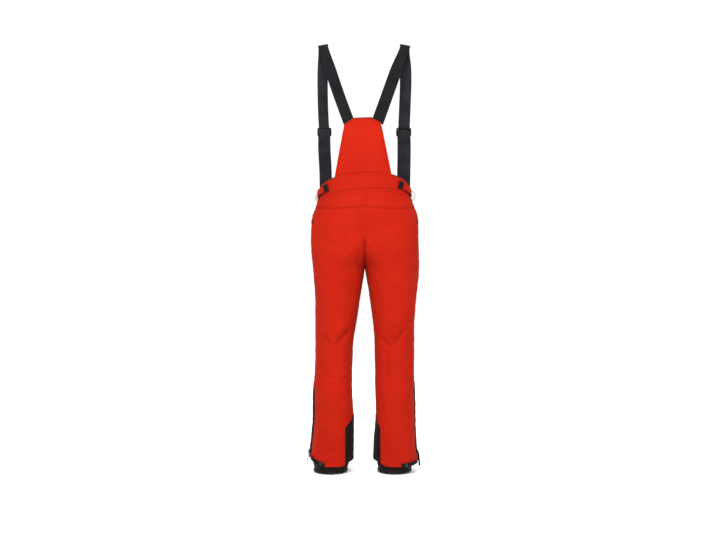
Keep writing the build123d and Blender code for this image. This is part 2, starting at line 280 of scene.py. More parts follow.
def mesh_object(name, vertices, faces, material, sharp, uv=None):
    """A smooth-shaded mesh with sharp edges where its faces meet at more than an angle."""
    mesh = bpy.data.meshes.new(name)
    mesh.from_pydata([tuple(v) for v in vertices], [], [tuple(int(i) for i in f) for f in faces])
    if uv is not None:
        layer = mesh.uv_layers.new(name="UVMap")
        loops = np.zeros(len(mesh.loops), np.int64)
        mesh.loops.foreach_get("vertex_index", loops)
        layer.data.foreach_set("uv", np.asarray(uv, np.float32)[loops].ravel())
    mesh.materials.append(material)
    mesh.shade_smooth()
    mesh.set_sharp_from_angle(angle=math.radians(sharp))
    return link(bpy.data.objects.new(name, mesh))


def place(piece, body, nodes=None):
    """Attaches a piece to the body that carries it, and hides the CAD nodes that it stands for. A piece given no
    body is left unattached."""
    if body:
        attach(piece, body)
    if nodes is not None:
        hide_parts(*nodes)
    return piece


def grid_faces(rows, columns):
    index = np.arange(rows * columns).reshape(rows, columns)
    return np.stack([index[:-1, :-1], index[1:, :-1], index[1:, 1:], index[:-1, 1:]], -1).reshape(-1, 4)


def grid_normals(points):
    across = np.gradient(points, axis=1)
    down = np.gradient(points, axis=0)
    normal = np.cross(down, across)
    return normal / np.maximum(np.linalg.norm(normal, axis=-1, keepdims=True), 1e-12)


def cloth(name, points, look, outward, body, nodes=None, thick=FABRIC, lined=False):
    """A closed sheet of fabric whose outer face is a grid. outward says which way its outer face looks."""
    rows, columns = points.shape[:2]
    normal = grid_normals(points)
    if (normal * outward).sum() < 0:
        points = points[:, ::-1]
        normal = -normal[:, ::-1]
    count = rows * columns
    index = np.arange(count).reshape(rows, columns)
    rim = np.concatenate([index[:-1, 0], index[-1, :-1], index[:0:-1, -1], index[0, :0:-1]])
    ahead = np.roll(rim, -1)
    walls = np.stack([rim, rim + count, ahead + count, ahead], -1)
    outer = grid_faces(rows, columns)
    faces = np.concatenate([outer, outer[:, ::-1] + count, walls])
    gaps = edge_distances(points)
    uv = np.stack([gaps["l"], gaps["t"]], -1).reshape(-1, 2)
    vertices = np.concatenate([points.reshape(-1, 3), (points - normal * thick).reshape(-1, 3)])
    piece = mesh_object(name, vertices, faces, LOOKS[look], 50, np.concatenate([uv, uv]))
    if lined:
        piece.data.materials.append(LOOKS["lining"])
        which = np.zeros(len(faces), np.int32)
        which[len(outer):2 * len(outer)] = 1
        piece.data.polygons.foreach_set("material_index", which)
    return place(piece, body, nodes)


def lengths(line):
    """How far every point of a line lies along it."""
    return np.concatenate([[0], np.cumsum(np.linalg.norm(np.diff(line, axis=0), axis=1))])


def read_at(where, far, values):
    """Rows of three values, given at the places far along a line, read at other places."""
    return np.stack([np.interp(where, far, values[:, k]) for k in range(3)], -1)


def resample(points, step):
    """Points at an even spacing along a line."""
    far = lengths(points)
    return read_at(np.linspace(0, far[-1], max(2, int(round(far[-1] / step)) + 1)), far, points)


def curve_through(knots, step=0.004):
    """An even, smooth line through a few points."""
    knots = np.array(knots, float)
    t = np.arange(len(knots))
    fine = np.linspace(0, len(knots) - 1, 40 * len(knots))
    k = np.clip(fine.astype(int), 0, len(knots) - 2)
    slopes = np.gradient(knots, axis=0)
    u = (fine - t[k])[:, None]
    a, b, sa, sb = knots[k], knots[k + 1], slopes[k], slopes[k + 1]
    line = a + (b - a) * u * u * (3 - 2 * u) + (u - 1) ** 2 * u * sa + u * u * (u - 1) * sb
    return resample(line, step)


def unit(vectors):
    return vectors / np.maximum(np.linalg.norm(vectors, axis=-1, keepdims=True), 1e-9)


def same(vector, points):
    """One vector, repeated for every point."""
    return np.broadcast_to(np.array(vector, float), points.shape)


def circles(first, second, count):
    """Unit circles of points, each in the plane of two directions."""
    angle = np.linspace(0, 2 * np.pi, count, endpoint=False)[:, None]
    return first[:, None] * np.cos(angle) + second[:, None] * np.sin(angle)


def loft_faces(rings, sides, flip=False):
    """The walls between rings of points, and a cap at both ends."""
    index = np.arange(rings * sides).reshape(rings, sides)
    ahead = np.roll(index, -1, axis=1)
    walls = np.stack([index[:-1], ahead[:-1], ahead[1:], index[1:]], -1).reshape(-1, 4)
    caps = [index[0][::-1], index[-1]]
    if flip:
        walls, caps = walls[:, [0, 3, 2, 1]], [cap[::-1] for cap in caps]
    return [tuple(face) for face in (*walls, *caps)]


RIM_POINTS = 28             # points round a strap's cross-section
FLAT_POWER, EDGE_POWER = 0.18, 0.5      # below 1 they square its wide faces and its narrow edges


def ribbon(name, centres, across, width, thick, look, body, nodes=None, cut=0):
    """A strap swept along a line. across points along its width, which may change along the line. cut slants
    it lengthwise, as a share of the distance from the middle line."""
    across = unit(np.broadcast_to(np.asarray(across, float), centres.shape))
    along = unit(np.gradient(centres, axis=0))
    face = unit(np.cross(along, across))
    across = unit(np.cross(face, along))
    count = len(centres)
    width = np.broadcast_to(width, count)[:, None]
    angle = np.linspace(0, 2 * np.pi, RIM_POINTS, endpoint=False)
    flat = width / 2 * np.sign(np.cos(angle)) * np.abs(np.cos(angle)) ** FLAT_POWER
    high = thick / 2 * np.sign(np.sin(angle)) * np.abs(np.sin(angle)) ** EDGE_POWER
    slant = np.broadcast_to(cut, count)[:, None] * flat
    rings = centres[:, None] + across[:, None] * flat[..., None] + face[:, None] * high[:, None]
    rings = rings + along[:, None] * slant[..., None]
    uv = np.stack([flat, np.broadcast_to(lengths(centres)[:, None], flat.shape)], -1).reshape(-1, 2)
    faces = loft_faces(count, RIM_POINTS, flip=True)
    return place(mesh_object(name, rings.reshape(-1, 3), faces, LOOKS[look], 70, uv), body, nodes)


ASKEW = np.array([0.31, 0.87, 0.39])    # a direction that no cord runs along


def tube_parts(line, radius, sides=8):
    """The points and faces of a round cord along a line."""
    along = unit(np.gradient(line, axis=0))
    first = unit(np.cross(along, ASKEW))
    rings = line[:, None] + radius * circles(first, np.cross(along, first), sides)
    return rings.reshape(-1, 3), loft_faces(len(line), sides)


def merge(parts):
    """Several (points, faces) as one."""
    points, faces, start = [], [], 0
    for part_points, part_faces in parts:
        points.append(part_points)
        faces += [tuple(int(i) + start for i in f) for f in part_faces]
        start += len(part_points)
    return np.concatenate(points), faces


def solid(name, parts, look, body, nodes=None, sharp=60):
    """One piece made of several closed (points, faces)."""
    return place(mesh_object(name, *merge(parts), LOOKS[look], sharp), body, nodes)


STITCH_LONG, STITCH_STEP, STITCH_RADIUS = 0.0024, 0.0036, 0.00042
STITCH_SIDES = 5


def stitches(name, lines, look, body=None):
    """Rows of short thread capsules. Each line is points on the fabric and their outward normals."""
    parts, faces = [], []
    tip = 1 + 2 * STITCH_SIDES
    for k in range(STITCH_SIDES):
        a, b = 1 + k, 1 + (k + 1) % STITCH_SIDES
        c, d = a + STITCH_SIDES, b + STITCH_SIDES
        faces += [(0, b, a), (a, b, d, c), (c, d, tip)]
    for points, normals in lines:
        far = lengths(points)
        where = np.arange(STITCH_STEP / 2, far[-1], STITCH_STEP)
        up = unit(read_at(where, far, normals))
        middle = read_at(where, far, points) + up * STITCH_RADIUS * 0.6
        along = unit(read_at(where, far, np.gradient(points, far, axis=0))) * STITCH_LONG
        rims = STITCH_RADIUS * circles(np.cross(up, unit(along)), up, STITCH_SIDES)
        for m, a, rim in zip(middle, along, rims):
            capsule = np.concatenate([[m - a * 0.5], m - a * 0.35 + rim, m + a * 0.35 + rim, [m + a * 0.5]])
            parts.append((capsule, faces))
    piece = mesh_object(name, *merge(parts), LOOKS[look], 80)
    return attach(piece, body) if body else piece


def rounded_block(middle, axes, size, round_by):
    """The points and faces of a block with rounded edges: axes are unit vectors, size its full lengths."""
    steps = []
    for length in size:
        half, soft = length / 2, min(round_by, length * 0.35)
        steps.append([-half, -half + soft, half - soft, half])
    steps = np.array(steps)
    points, index = [], {}
    for key in product(range(4), repeat=3):
        if all(0 < step < 3 for step in key):
            continue
        corner = steps[range(3), key]
        inner = np.clip(corner, steps[:, 1], steps[:, 2])
        away = corner - inner
        index[key] = len(points)
        points.append(middle + (inner + away / np.linalg.norm(away) * max(abs(away))) @ np.array(axes))
    faces = []
    for axis, end in product(range(3), (0, 3)):
        others = [a for a in range(3) if a != axis]
        turn_back = (end == 0) != (axis == 1)
        for p, q in product(range(3), repeat=2):
            corners = []
            for dp, dq in ((0, 0), (1, 0), (1, 1), (0, 1)):
                key = [end] * 3
                key[others[0]], key[others[1]] = p + dp, q + dq
                corners.append(index[tuple(key)])
            faces.append(tuple(corners[::-1] if turn_back else corners))
    return np.array(points), faces


TURNED_SIDES = 24


def turned(middle, up, profile):
    """The points and faces of a round piece: profile is (radius, height) from its rim to its middle."""
    up = unit(np.array(up, float))
    first = unit(np.cross(up, [0.3, 0.5, 0.8]))
    circle = circles(first[None], np.cross(up, first)[None], TURNED_SIDES)[0]
    rings = [np.array(middle) + up * height + radius * circle for radius, height in profile]
    return np.concatenate(rings), loft_faces(len(profile), TURNED_SIDES)


SNAP_PROFILE = [(.0054, 0), (.0064, .0003), (.0066, .0009), (.0060, .0016), (.0050, .0019), (.0044, .0016),
                (.0036, .0017), (.0020, .0020), (.0006, .0021)]
STUD_PROFILE = [(.0046, 0), (.0046, .0006), (.0030, .0010), (.0024, .0018), (.0006, .0019)]


def snaps(name, places, up, profile, body, node):
    """Halves of press studs, one at each place."""
    return solid(name, [turned(middle, up, profile) for middle in places], "metal", body, [node], sharp=35)


NEXT_Z, NEXT_TURN = 0.002, 0.02          # how far away the surface is read for its slope


def on_surface(side, z, turn, lift=0.0):
    """Points that lie a little above the finished surface, with the surface's outward normals."""
    z, turn = np.broadcast_arrays(np.asarray(z, float), np.asarray(turn, float))
    here = surface(side, z, turn)
    up = surface(side, z + NEXT_Z, turn) - here
    round_it = surface(side, z, turn + NEXT_TURN) - here
    normal = unit(np.cross(round_it, up) * SIDES[side])
    return here + normal * lift, normal


def line_on(side, z, turn, lift):
    """A line on the surface: its points, the outward normals, and the directions across it."""
    points, normals = on_surface(side, z, turn, lift)
    return points, normals, np.cross(unit(np.gradient(points, axis=0)), normals)


def turn_at(side, z, x):
    """The turn at which the back of the surface is a distance x from the garment's middle."""
    middle, reach_in, reach_out = section(side, z)[:3]
    share = np.where(x > middle, (x - middle) / reach_out, (x - middle) / reach_in)
    return np.arccos(np.sign(share) * np.clip(np.abs(share), 0, 1) ** (1 / FULLNESS))


# Materials ------------------------------------------------------------


def fill(node, **inputs):
    """Sets a node's inputs, whose names have _ for a space."""
    for name, value in inputs.items():
        node.inputs[name.replace("_", " ")].default_value = value


class Shader:
    """A small helper that adds nodes to one material and links them."""

    def __init__(self, name, **surface):
        self.material = bpy.data.materials.new(name)
        self.material.use_nodes = True
        self.tree = self.material.node_tree
        self.surface = self.tree.nodes["Principled BSDF"]
        fill(self.surface, **surface)

    def add(self, kind, **inputs):
        node = self.tree.nodes.new(f"ShaderNode{kind}")
        fill(node, **inputs)
        return node

    def join(self, output, socket):
        self.tree.links.new(output, socket)

    def where(self, kind, scale=(1, 1, 1)):
        """Places on the piece: UV for the fabric's own lengths, Object for metres."""
        coordinates = self.add("TexCoord")
        stretch = self.add("Mapping", Scale=scale)
        self.join(coordinates.outputs[kind], stretch.inputs["Vector"])
        return stretch.outputs[0]

    def noise(self, scale, detail, roughness=0.5):
        cloud = self.add("TexNoise", Scale=scale, Detail=detail, Roughness=roughness)
        self.join(self.where("Object"), cloud.inputs["Vector"])
        return cloud.outputs["Fac"]

    def colour(self, driver, *stops):
        """Colours the surface along a ramp between two stops, each a position and a colour."""
        ramp = self.add("ValToRGB")
        for element, (position, colour) in zip(ramp.color_ramp.elements, stops):
            element.position = position
            element.color = (*colour, 1)
        self.join(driver, ramp.inputs["Fac"])
        self.join(ramp.outputs["Color"], self.surface.inputs["Base Color"])

    def bump(self, heights, strength, distance):
        """Adds a bump on top of any that is there already."""
        bump = self.add("Bump", Strength=strength, Distance=distance)
        self.join(heights, bump.inputs["Height"])
        socket = self.surface.inputs["Normal"]
        if socket.is_linked:
            self.join(socket.links[0].from_socket, bump.inputs["Normal"])
        self.join(bump.outputs[0], socket)

    def weave(self, across, along):
        """Threads that cross: the product of two waves over the fabric's own lengths."""
        mix = self.add("Math")
        mix.operation = "MULTIPLY"
        for socket, direction, scale in zip(mix.inputs, "XY", ((across, 0, 1), (0, along, 1))):
            wave = self.add("TexWave", Scale=1.0, Distortion=0.4)
            wave.bands_direction = direction
            self.join(self.where("UV", scale), wave.inputs["Vector"])
            self.join(wave.outputs["Fac"], socket)
        return mix.outputs[0]


def red_fabric():
    """Matt woven polyester: a fine weave, a slightly uneven dye and a faint crumple."""
    shader = Shader("red_fabric", Roughness=0.8, Specular_IOR_Level=0.04, Sheen_Weight=0.06,
                    Sheen_Roughness=0.5, Sheen_Tint=(1, .10, .04, 1))
    shader.colour(shader.noise(9, 5, 0.6), (0.3, (.238, .0064, .0017)), (0.7, (.276, .0080, .0022)))
    shader.bump(shader.weave(380, 380), 0.35, 0.0003)
    shader.bump(shader.noise(70, 3), 0.12, 0.0012)
    return shader.material


def dark_cloth(name, dark, pale, across, along, rough=0.75, depth=0.0004, specular=0.08):
    """A dark woven or ribbed cloth. The weave's crests are painted a little paler than its valleys: painted shade
    in the valleys.
    """
    shader = Shader(name, Roughness=rough, Specular_IOR_Level=specular)
    weave = shader.weave(across, along)
    mix = shader.add("Math")
    mix.operation = "MULTIPLY_ADD"
    mix.inputs[1].default_value = 0.5
    shader.join(weave, mix.inputs[0])
    shader.join(shader.noise(24, 4), mix.inputs[2])
    # the colour follows the weave's height: painted shade in the weave's valleys
    shader.colour(mix.outputs[0], (0.35, dark), (0.85, pale))
    shader.bump(weave, 0.6, depth)
    return shader.material


def moulded(name, dark, pale, rough, metallic=0.0):
    """Moulded plastic or lacquered metal, with fine texture and scuffs."""
    shader = Shader(name, Roughness=rough, Metallic=metallic, Specular_IOR_Level=0.10)
    shader.colour(shader.noise(120, 5), (0.4, dark), (0.75, pale))
    shader.bump(shader.noise(900, 2), 0.15, 0.0002)
    return shader.material


def pale_floor():
    shader = Shader("pale_floor", Roughness=0.9)
    shader.colour(shader.noise(3, 4), (0.3, grey(.93)), (0.7, grey(.95)))
    return shader.material


def grey(value):
    return value, value, value


LOOKS = {
    "red": red_fabric(),
    # the red thread is real, and its colour is painted darker than the red cloth: painted shade along the seams
    "thread": dark_cloth("red_thread_painted_shade", (.19, .005, .002), (.26, .008, .003), 900, 900, specular=0.1),
    "lining": dark_cloth("lining", grey(.010), grey(.022), 500, 500, rough=0.6),
    "webbing": dark_cloth("black_webbing", (.0018, .0016, .0020), (.0060, .0054, .0066), 520, 330,
                          depth=0.0005),
    "elastic": dark_cloth("elastic_webbing", (.0052, .0046, .0060), (.0150, .0134, .0172), 640, 210,
                          depth=0.0006),
    "black_thread": dark_cloth("black_thread", grey(.005), grey(.015), 900, 900),
    "scuff": dark_cloth("scuff_fabric", (.0036, .0014, .0015), (.0100, .0040, .0042), 330, 330, depth=0.0007),
    "gaiter": dark_cloth("gaiter_fabric", (.0024, .0010, .0010), (.0070, .0030, .0030), 420, 420, rough=0.55),
    "tape": dark_cloth("zip_tape", grey(.0030), grey(.0080), 700, 500),
    "pile": dark_cloth("hook_patch", grey(.0030), grey(.0120), 800, 800, rough=0.9, depth=0.001),
    "plastic": moulded("moulded_black", grey(.0016), grey(.0040), 0.60),
    "coil": moulded("zip_coil", grey(.0030), grey(.0080), 0.40),
    "metal": moulded("dark_snap", (.020, .018, .020), (.060, .056, .060), 0.36, 0.8),
    "slider": moulded("lacquered_slider", grey(.0020), grey(.0060), 0.50, 0.1),
    "cord": dark_cloth("loop_cord", (.045, .030, .032), (.11, .09, .09), 600, 600),
}


# Garment ------------------------------------------------------------

LEFTWARD, BACKWARD, UP = np.eye(3)      # the wearer's left is +X, and their back +Y


def left_only(side, node):
    """A CAD node that spans both sides: the left piece stands for it."""
    return [node] if side == "left" else []


def waist_height(drop):
    """Heights of a line that runs round the waist, a distance below its top edge."""
    def height(side, turn):
        z = np.full(np.shape(turn), SIDE_WAIST - drop)
        sag = 0.12 * drop * ease(np.sin(turn) * 2 - 0.9)
        for _ in range(3):
            points = base(side, z, turn)[0]
            z = SIDE_WAIST - drop - sag + WAIST_TILT * points[..., 1] + right_rise(points[..., 0])
        return z
    return height


HEM_MIDDLE, HEM_INNER = HEM - 0.0015, HEM + 0.0165
HEM_OUTER = {"left": HEM + 0.026, "right": HEM + 0.015}


def hem_height(side, turn):
    """The hem's edge, which rises towards the inside and the outside of the leg."""
    c = np.cos(turn)
    end = np.where(c > 0, HEM_OUTER[side], HEM_INNER)
    return HEM_MIDDLE + (end - HEM_MIDDLE) * ease((np.abs(c) - 0.35) / 0.65)


def level(z):
    return lambda side, turn: np.full(np.shape(turn), z)


def yoke_line(side, turn):
    """The yoke's seam dips to a low point at each side and meets in a small point at the middle."""
    from_middle = np.abs(np.cos(turn))
    return YOKE_SEAM + 0.004 * np.exp(-from_middle / 0.04) - 0.006 * np.sin(np.pi * from_middle) ** 2


SIDE_RADIUS = 0.08          # about how far the surface runs for every radian, beside the leg zip


def outside(z):
    """The back panels' first turn: at the outside seam, or beside the leg zip."""
    return 0.0022 / SIDE_RADIUS * np.clip((LEG_ZIP_TOP - z) / 0.02, 0, 1)


def hip_bend(piece, side):
    """A piece at the hip, between the trunk above and inside and the thigh below: its transform is baked into its
    mesh.
    """
    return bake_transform(piece)


def knee_bend(piece, side):
    """A piece at the knee, between the thigh above and the shin below: its transform is baked into its mesh."""
    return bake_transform(piece)


def garment():
    """The shell: yoke, waistband, and a back and a front panel for each leg above and below the knee."""
    seam, edge, split = waist_height(BAND), waist_height(0), level(LEG_SPLIT)
    to_side = lambda z: np.zeros(np.shape(z))
    half = lambda z: np.full(np.shape(z), math.pi / 2)
    in_front = lambda turn: lambda z: -turn(z)
    for side in SIDES:
        to_back = lambda z: turn_end(side, z)
        plan = [
            ("yoke", yoke_line, seam, to_side, half, (26, 60), "lrtb", 1, left_only(side, "rear_yoke")),
            ("waistband_rear", seam, edge, to_side, half, (22, 56), "ltb", 1,
             left_only(side, "waistband_rear")),
            ("waistband_front", seam, edge, to_side, in_front(half), (22, 56), "lrtb", -1,
             [f"{side}_waistband_front"]),
            ("back_upper", split, yoke_line, outside, to_back, (120, 84), "lrt", 1,
             [f"{side}_seat_panel", f"{side}_hip_section", f"{side}_thigh"]),
            ("front_upper", split, seam, in_front(outside), in_front(to_back), (130, 74), "lrt", -1,
             [f"{side}_front_panel"]),
            ("back_lower", hem_height, split, outside, to_back, (150, 74), "lr", 1,
             [f"{side}_knee_section", f"{side}_shin"]),
            ("front_lower", hem_height, split, in_front(outside), in_front(to_back), (120, 64), "lr", -1, []),
        ]
        for name, low, high, first, last, grid, seams, faces, nodes in plan:
            bend = {"upper": hip_bend, "lower": knee_bend}.get(name.split("_")[-1])
            points = panel(side, low, high, first, last, *grid, seams)
            body = None if bend else "root"
            piece = cloth(f"{side}_{name}_cloth", points, "red", faces * BACKWARD, body, nodes or None, lined=True)
            if bend:
                bend(piece, side)


# Rear bib: its corners lean slightly to the wearer's left
BIB_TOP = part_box("rear_bib")[1].z + 0.003
BIB_FOOT = 1.12             # about where the bib leaves the waistband
BIB_LEAN = 0.0085
BIB_HALF_BASE = {"left": .114, "right": .102}
BIB_HALF_SHOULDER = {"left": .0676, "right": .0695}
BIB_HALF_TOP = 0.0345
BIB_CUT = 0.020             # how far the cut corners fall
PIPING_RADIUS, PIPING_SUNK = 0.0013, 0.0006


def back_y(x, z):
    """The y of the plain back surface above the waist."""
    _, _, reach, middle_y, depth = section("left", z)
    share = np.clip(np.abs(x) / reach, 0, 1) ** (1 / FULLNESS)
    return middle_y + depth * np.sqrt(1 - share ** 2) ** FULLNESS


def bib_point(across, up, lift=0.0):
    """Points on the bib. across runs from -1 to 1, and up from 0 at the waist to 1 at the top."""
    base_half = np.where(across > 0, BIB_HALF_BASE["left"], BIB_HALF_BASE["right"])
    shoulder = np.where(across > 0, BIB_HALF_SHOULDER["left"], BIB_HALF_SHOULDER["right"])
    x = BIB_LEAN * up + (base_half + (shoulder - base_half) * up) * across
    cut = np.clip((np.abs(across) * shoulder - BIB_HALF_TOP) / (shoulder - BIB_HALF_TOP), 0, 1)
    top = BIB_TOP - 0.0022 * across - BIB_CUT * cut
    low = SIDE_WAIST - 0.003 + WAIST_TILT * back_y(x, np.full(np.shape(x), BIB_FOOT)) + right_rise(x)
    z = low + (top - low) * up
    points = np.stack([x, back_y(x, z), z], -1)
    slack = 0.0014 * mottle(points, 0.06, 8) + 0.0006 * mottle(points, 0.02, 9)
    bow = -0.0025 * np.cos(across * math.pi / 2) * np.sin(up * math.pi)
    points[..., 1] += slack + bow + lift
    return points


def bib():
    """The rear bib, with a piping along its top and along the waist's back edge."""
    up, across = np.broadcast_arrays(spread(64)[:, None], (spread(60) * 2 - 1)[None, :])
    points = bib_point(across, up)
    sunk = np.zeros(points.shape[:2])
    for edge, gap in edge_distances(points).items():
        if edge == "t":
            dip = np.exp(-(gap / SEAM_WIDTH) ** 2)
        else:
            dip = 0.5 * np.exp(-((gap - 0.006) / 0.0022) ** 2) + 0.4 * np.exp(-(gap / 0.0015) ** 2)
        sunk = np.maximum(sunk, dip)
    points[..., 1] -= SEAM_DEPTH * sunk
    cloth("rear_bib_cloth", points, "red", BACKWARD, "root", ["rear_bib"], lined=True)
    top_edge = bib_point(np.linspace(-0.995, 0.995, 90), np.full(90, 1.0), -PIPING_SUNK)
    pipings = {"bib_piping": top_edge - PIPING_SUNK * UP}
    for side in SIDES:
        turn = np.linspace(0.12, turn_at(side, BIB_FOOT, BIB_HALF_BASE[side] - 0.002), 70)
        pipings[f"{side}_waist_piping"] = on_surface(side, waist_height(0.0008)(side, turn), turn, -0.0012)[0]
    for name, line in pipings.items():
        solid(name, [tube_parts(resample(line, 0.003), PIPING_RADIUS)], "lining", "root", sharp=80)


# Braces: middle lines as (x, z), up the back from the bib and down the front from the shoulder
BACK_LINES = {
    "left": [(.0600, 1.330), (.0862, 1.4025), (.1110, 1.475), (.1340, 1.5475), (.1565, 1.618)],
    "right": [(-.0487, 1.328), (-.0748, 1.4025), (-.1000, 1.475), (-.1252, 1.5475), (-.1525, 1.618)],
}
FOOT_SLANT = {"left": 0.36, "right": 0.14}      # how steeply the foot is cut, along the bib's corner
FRONT_LINES = {
    "left": [(.1590, 1.618), (.1625, 1.51), (.1615, 1.40), (.1572, 1.305), (.1570, 1.245), (.1528, 1.150),
             (.1515, 1.012)],
    "right": [(-.1545, 1.618), (-.1590, 1.51), (-.1562, 1.40), (-.1530, 1.305), (-.1545, 1.245),
              (-.1535, 1.150), (-.1520, 1.012)],
}
BACK_WIDE = {"left": .0432, "right": .0458}
FRONT_WIDE = {"left": .0403, "right": .0450}
LOWER_WIDE = {"left": .0487, "right": .0522}
FOLD_WIDE = .0375           # where the strap turns over the shoulder
STRAP_THICK = .0022
FOLD_Y, FOLD_RADIUS = .005, .0075
FOLD_Z = SHOULDER - .0160
FOLD_START_Z = 1.618        # the fold's bend starts here
FRONT_FALL = .087 / .6175   # how far forward the front strap runs for every metre down
STRAP_FOOT_Y = .0965
SLIDER_Z = 1.3085
SLIDER_WIDE = {"left": .0545, "right": .0585}


def front_y(z):
    return FOLD_Y - FOLD_RADIUS - (FOLD_Z - z) * FRONT_FALL


def back_strap_y(z):
    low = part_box("left_back_strap")[0].z
    return STRAP_FOOT_Y + (FOLD_Y + FOLD_RADIUS - STRAP_FOOT_Y) * np.clip((z - low) / (FOLD_Z - low), 0, 1)


def back_flat(side, sign):
    """The directions across and up the back strap."""
    (x1, z1), (x2, z2) = BACK_LINES[side][0], BACK_LINES[side][-1]
    lean = np.array([x2 - x1, 0, z2 - z1]) / math.hypot(x2 - x1, z2 - z1)
    return sign * np.array([lean[2], 0, -lean[0]]), lean


def back_strap(side, sign):
    """The strap from the bib to the shoulder. Its foot is cut along the bib's corner and sewn down."""
    line = curve_through([(x, back_strap_y(z), z) for x, z in BACK_LINES[side]])
    flat, lean = back_flat(side, sign)
    narrow = ease((line[:, 2] - 1.51) / (FOLD_START_Z - 1.51))
    width = BACK_WIDE[side] + (FOLD_WIDE - BACK_WIDE[side]) * narrow
    cut = FOOT_SLANT[side] * np.clip(1 - np.linspace(0, 1, len(line)) * 5, 0, 1)
    body = f"{side}_back_strap"
    ribbon(f"{body}_webbing", line, flat, width, STRAP_THICK, "webbing", body, [body], cut=-cut)
    rows = []
    face = unit(np.cross(lean, flat)) * sign
    for far in (0.0085, 0.0125):
        share = np.linspace(-1, 1, 12)[:, None] * (BACK_WIDE[side] / 2 - 0.003)
        points = line[0] + lean * far + share * (flat - FOOT_SLANT[side] * lean) + face * (STRAP_THICK / 2)
        points[:, 1] = back_strap_y(points[:, 2]) + STRAP_THICK / 2
        rows.append((points, same([0, 1, 0.08], points)))
    stitches(f"{body}_stitches", rows, "black_thread", body)


def strap_fold(side, sign):
    """Where the strap turns over the shoulder."""
    back_x, front_x = BACK_LINES[side][-1][0], FRONT_LINES[side][0][0]
    angle = np.linspace(0, math.pi, 26)
    flat, lean = back_flat(side, sign)
    top_x = back_x + (FOLD_Z - FOLD_START_Z) * lean[0] / lean[2]
    heights = np.linspace(FOLD_START_Z, FOLD_Z - .001, 4)
    up_back = [(np.interp(z, [FOLD_START_Z, FOLD_Z], [back_x, top_x]), back_strap_y(z), z) for z in heights]
    arch = np.stack([top_x + (front_x - top_x) * angle / math.pi,
                     FOLD_Y + FOLD_RADIUS * np.cos(angle), FOLD_Z + FOLD_RADIUS * np.sin(angle)], -1)
    down_front = [(front_x, front_y(z), z) for z in heights[::-1]]
    line = np.concatenate([up_back, arch, down_front])
    share = np.linspace(0, 1, len(line))[:, None]
    across = flat * (1 - share) + sign * LEFTWARD * share
    fold = ribbon(f"{side}_strap_fold", line, across, FOLD_WIDE, STRAP_THICK, "webbing", None)
    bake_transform(fold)


def front_strap(side, sign):
    """The elastic from the shoulder to the slider, and the wider webbing, which runs from round the slider's
    top bar down to the waist."""
    body = f"{side}_front_strap"
    line = curve_through([(x, front_y(z), z) for x, z in FRONT_LINES[side]])
    upper = line[line[:, 2] > SLIDER_Z - 0.012]
    width = FRONT_WIDE[side] + (FOLD_WIDE - FRONT_WIDE[side]) * ease((upper[:, 2] - 1.55) / 0.06)
    ribbon(f"{side}_front_elastic", upper, sign * LEFTWARD, width, STRAP_THICK, "elastic", body, [body])
    lower = line[line[:, 2] < SLIDER_Z + 0.0125].copy()
    over = ease((lower[:, 2] - (SLIDER_Z - 0.050)) / 0.032)
    lower[:, 1] += 0.0058 * over
    narrow = SLIDER_WIDE[side] - 0.0072
    width = LOWER_WIDE[side] + (narrow - LOWER_WIDE[side]) * over
    ribbon(f"{side}_front_webbing", lower, sign * LEFTWARD, width, STRAP_THICK, "elastic", body)
    rows = []
    for far, face in product((0.0290, 0.0345), (-1, 1)):
        share = np.linspace(-1, 1, 12)[:, None] * (LOWER_WIDE[side] / 2 - 0.004)
        points = lower[0] - UP * far + share * LEFTWARD
        points[:, 1] = np.interp(points[:, 2], lower[::-1, 2], lower[::-1, 1]) + face * STRAP_THICK / 2
        rows.append((points, same(face * BACKWARD, points)))
    stitches(f"{body}_stitches", rows, "black_thread", body)
    low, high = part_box(f"{side}_brace_snap_cap")
    middle = [(low.x + high.x) / 2, high.y - 0.0008, (low.z + high.z) / 2]
    snaps(f"{side}_brace_snap", [middle], (0, -1, 0.14), SNAP_PROFILE, body, f"{side}_brace_snap_cap")


def strap_slider(side, sign):
    """A moulded three-bar slider: two thick rails with a rounded outline, and three bars between them."""
    x = np.interp(SLIDER_Z, [z for _, z in FRONT_LINES[side]][::-1], [x for x, _ in FRONT_LINES[side]][::-1])
    middle = np.array([x - sign * 0.0008, front_y(SLIDER_Z) + 0.0012, SLIDER_Z])
    down = unit(np.array([0, -FRONT_FALL, -1]))
    out = unit(np.array([0, -1, FRONT_FALL]))
    axes = (LEFTWARD, down, out)
    half = SLIDER_WIDE[side] / 2
    outline = ((-.0150, .0044), (-.0115, .0030), (0, .0026), (.0115, .0030), (.0150, .0044))
    parts = []
    for end in (-1, 1):
        rail = [middle + LEFTWARD * end * (half - inset) + down * fall for fall, inset in outline]
        parts.append(tube_parts(curve_through(rail, 0.0015), 0.0031, 10))
        bar = middle + end * down * 0.0150 - out * 0.0006
        parts.append(rounded_block(bar, axes, (2 * half - .008, .0060, .0042), .0018))
    parts.append(rounded_block(middle + out * 0.0032, axes, (2 * half - .004, .0080, .0034), .0014))
    solid(f"{side}_three_bar_slider", parts, "plastic", f"{side}_strap_slider", [f"{side}_strap_slider"])


# Waist ------------------------------------------------------------

TAB_END = {"left": .71, "right": .80}           # the turn at which the waist tab ends
TAB_BULGE = {"left": .0042, "right": .0028}
TAB_WIDE, TAB_THICK = .026, .0026
TAB_DROP, PATCH_DROP = .029, .031               # how far below the waist's edge the tab and its patch run
GRIP_AT = 34                                    # which of the tab's 40 points the grip sits at
GRIP_SIZE, RIB_SIZE = (.0225, .0255, .0048), (.0018, .0200, .0016)
LOOP_Z = {"left": (1.070, 1.031), "right": (1.078, 1.036)}      # the side loops' two ends
LOOP_REACH = {"left": .1895, "right": .1935}
LOOP_FOOT, LOOP_RADIUS = .178, .0011


